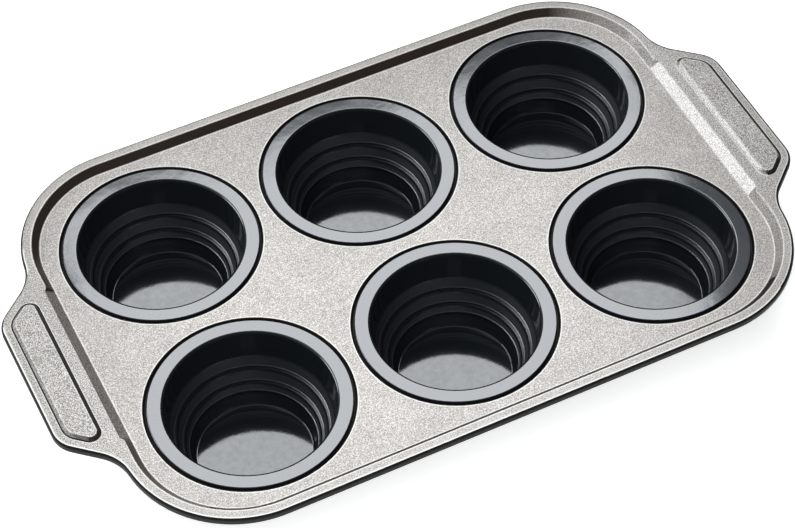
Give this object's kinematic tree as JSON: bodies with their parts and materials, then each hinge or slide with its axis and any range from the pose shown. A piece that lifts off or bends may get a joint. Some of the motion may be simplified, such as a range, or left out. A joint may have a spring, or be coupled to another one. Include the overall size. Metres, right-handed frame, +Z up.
{
  "type": "muffin pan",
  "caption": "Rectangular coated steel muffin tray with side handles, holding removable stepped silicone cups whose bases push up to release the muffins.",
  "frame": {"origin": "on the standing surface under the middle of the pan", "axes": "+X along the pan's length from handle to handle, +Y across it, +Z up out of the cups"},
  "size_m": [0.3384, 0.2036, 0.0408],
  "materials": {
    "coated_steel": "granular sand-textured non-stick coating, champagne grey, satin",
    "silicone": "smooth moulded silicone, dark grey, soft gloss"
  },
  "bodies": {
    "tray": {"tray": "coated_steel"},
    "cup_1": {"cup_1_rim": "silicone", "cup_1_steps": "silicone"},
    "cup_1_base": {"cup_1_base": "silicone"},
    "cup_2": {"cup_2_rim": "silicone", "cup_2_steps": "silicone"},
    "cup_2_base": {"cup_2_base": "silicone"},
    "cup_3": {"cup_3_rim": "silicone", "cup_3_steps": "silicone"},
    "cup_3_base": {"cup_3_base": "silicone"},
    "cup_4": {"cup_4_rim": "silicone", "cup_4_steps": "silicone"},
    "cup_4_base": {"cup_4_base": "silicone"},
    "cup_5": {"cup_5_rim": "silicone", "cup_5_steps": "silicone"},
    "cup_5_base": {"cup_5_base": "silicone"},
    "cup_6": {"cup_6_rim": "silicone", "cup_6_steps": "silicone"},
    "cup_6_base": {"cup_6_base": "silicone"}
  },
  "joints": [
    {"name": "cup_1_lift", "type": "slide", "parent": "tray", "child": "cup_1", "axis": [0, 0, 1], "range_m": [0, 0.045]},
    {"name": "cup_1_push", "type": "slide", "parent": "cup_1", "child": "cup_1_base", "axis": [0, 0, 1], "range_m": [0, 0.009], "stiffness_N_per_m": 800, "springref_m": -0.002, "deforming": ["cup_1_steps"]},
    {"name": "cup_2_lift", "type": "slide", "parent": "tray", "child": "cup_2", "axis": [0, 0, 1], "range_m": [0, 0.045]},
    {"name": "cup_2_push", "type": "slide", "parent": "cup_2", "child": "cup_2_base", "axis": [0, 0, 1], "range_m": [0, 0.009], "stiffness_N_per_m": 800, "springref_m": -0.002, "deforming": ["cup_2_steps"]},
    {"name": "cup_3_lift", "type": "slide", "parent": "tray", "child": "cup_3", "axis": [0, 0, 1], "range_m": [0, 0.045]},
    {"name": "cup_3_push", "type": "slide", "parent": "cup_3", "child": "cup_3_base", "axis": [0, 0, 1], "range_m": [0, 0.009], "stiffness_N_per_m": 800, "springref_m": -0.002, "deforming": ["cup_3_steps"]},
    {"name": "cup_4_lift", "type": "slide", "parent": "tray", "child": "cup_4", "axis": [0, 0, 1], "range_m": [0, 0.045]},
    {"name": "cup_4_push", "type": "slide", "parent": "cup_4", "child": "cup_4_base", "axis": [0, 0, 1], "range_m": [0, 0.009], "stiffness_N_per_m": 800, "springref_m": -0.002, "deforming": ["cup_4_steps"]},
    {"name": "cup_5_lift", "type": "slide", "parent": "tray", "child": "cup_5", "axis": [0, 0, 1], "range_m": [0, 0.045]},
    {"name": "cup_5_push", "type": "slide", "parent": "cup_5", "child": "cup_5_base", "axis": [0, 0, 1], "range_m": [0, 0.009], "stiffness_N_per_m": 800, "springref_m": -0.002, "deforming": ["cup_5_steps"]},
    {"name": "cup_6_lift", "type": "slide", "parent": "tray", "child": "cup_6", "axis": [0, 0, 1], "range_m": [0, 0.045]},
    {"name": "cup_6_push", "type": "slide", "parent": "cup_6", "child": "cup_6_base", "axis": [0, 0, 1], "range_m": [0, 0.009], "stiffness_N_per_m": 800, "springref_m": -0.002, "deforming": ["cup_6_steps"]}
  ]
}
